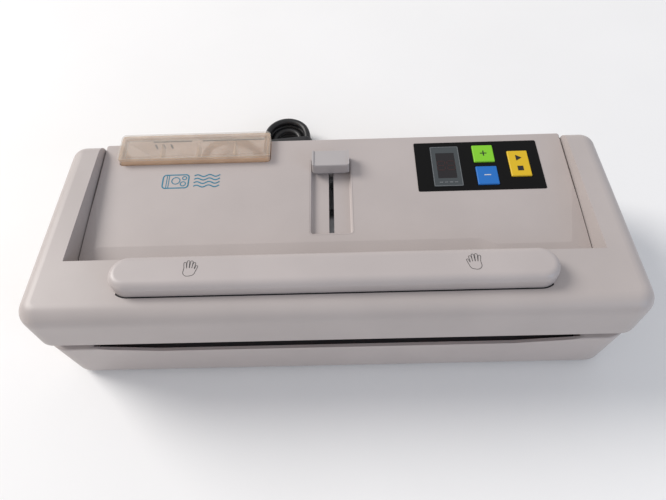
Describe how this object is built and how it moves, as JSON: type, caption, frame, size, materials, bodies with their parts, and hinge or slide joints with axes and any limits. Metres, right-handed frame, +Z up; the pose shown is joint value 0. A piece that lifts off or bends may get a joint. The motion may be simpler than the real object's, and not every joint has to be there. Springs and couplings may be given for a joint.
{
  "type": "vacuum packing machine",
  "caption": "Countertop vacuum sealer: low base, sprung U-shaped lid with a press bar, sliding suction nozzle, three keys, display and lift-out clear liquid tank.",
  "frame": {"origin": "on the worktop, midway between the two sides and 76 mm behind the base's front face, near the middle of the base", "axes": "+X right, +Y to the rear, +Z up; the bag mouth faces -Y"},
  "size_m": [0.393, 0.2367, 0.1032],
  "materials": {
    "housing": "satin moulded ABS, ivory white",
    "lid": "satin moulded ABS, ivory white",
    "press_bar": "satin moulded ABS, ivory white",
    "dark_rubber": "matte black rubber",
    "foam": "closed-cell foam, matte",
    "silicone": "silicone strip",
    "clear_tank": "clear polycarbonate",
    "panel": "printed black overlay",
    "lens": "translucent grey lens",
    "display": "dark display glass",
    "key_green": "satin key cap",
    "key_blue": "satin key cap",
    "key_yellow": "satin key cap",
    "knob": "satin moulded plastic",
    "steel": "plain steel",
    "brass": "turned brass",
    "black_plastic": "matte black moulding",
    "grey_plastic": "matte grey moulding",
    "tape": "woven release tape",
    "board": "green circuit board",
    "copper": "enamelled copper winding",
    "hose": "flexible hose",
    "cord": "black flexible lead"
  },
  "bodies": {
    "base": {"bottom_tray": "housing", "upper_housing": "housing", "deck_panel": "housing", "tank_well": "grey_plastic", "hinge_pins": "steel", "lid_springs": "steel", "heater_carrier": "black_plastic", "heating_wire": "steel", "release_tape": "tape", "vacuum_trough": "grey_plastic", "lower_gasket": "foam", "slider_track": "housing", "guide_rails": "steel", "control_panel": "panel", "display_lens": "lens", "display_window": "display", "display_module": "black_plastic", "control_board": "board", "board_parts": "black_plastic", "pump_motor": "steel", "motor_bearings": "brass", "pump_block": "grey_plastic", "pump_head": "black_plastic", "pump_mounts": "dark_rubber", "motor_cradle": "grey_plastic", "transformer": "steel", "transformer_winding": "copper", "release_valve": "black_plastic", "vacuum_hose": "hose", "lid_switch": "black_plastic", "rubber_feet": "dark_rubber", "case_screws": "steel", "strain_relief": "dark_rubber", "cord_lead": "cord", "cord_tail": "cord", "cord_hank": "cord", "cord_tie": "black_plastic", "plug_body": "cord", "plug_pins": "steel"},
    "lid": {"lid_shell": "lid", "press_bar": "press_bar", "press_bar_seal": "dark_rubber", "press_bar_screws": "steel", "lid_inner_plate": "grey_plastic", "press_strip": "silicone", "upper_gasket": "foam", "hinge_bushes": "brass"},
    "nozzle": {"slider_knob": "knob", "slider_carriage": "grey_plastic", "suction_nozzle": "steel"},
    "tank": {"tank_body": "clear_tank", "tank_cover": "clear_tank"},
    "pump_rotor": {"motor_rotor": "steel", "crank_hub": "steel"},
    "key_green": {"button_green": "key_green"},
    "key_blue": {"button_blue": "key_blue"},
    "key_yellow": {"button_yellow": "key_yellow"}
  },
  "joints": [
    {"name": "lid_hinge", "type": "hinge", "parent": "base", "child": "lid", "pos_m": [0, 0.0615, 0.063], "axis": [1, 0, 0], "range_deg": [-50, 4.5], "stiffness_Nm_per_rad": 3, "springref_deg": -5.16},
    {"name": "nozzle_slide", "type": "slide", "parent": "base", "child": "nozzle", "axis": [0, -1, 0], "range_m": [0, 0.052]},
    {"name": "tank_lift", "type": "slide", "parent": "base", "child": "tank", "axis": [0, 0, 1], "range_m": [0, 0.06]},
    {"name": "pump_spin", "type": "hinge", "parent": "base", "child": "pump_rotor", "pos_m": [0.057, 0.008, 0.031], "axis": [1, 0, 0], "continuous": true},
    {"name": "key_green_press", "type": "slide", "parent": "base", "child": "key_green", "axis": [0, 0, -1], "range_m": [0, 0.0009], "stiffness_N_per_m": 400, "springref_m": -0.0005},
    {"name": "key_blue_press", "type": "slide", "parent": "base", "child": "key_blue", "axis": [0, 0, -1], "range_m": [0, 0.0009], "stiffness_N_per_m": 400, "springref_m": -0.0005},
    {"name": "key_yellow_press", "type": "slide", "parent": "base", "child": "key_yellow", "axis": [0, 0, -1], "range_m": [0, 0.0009], "stiffness_N_per_m": 400, "springref_m": -0.0005}
  ]
}
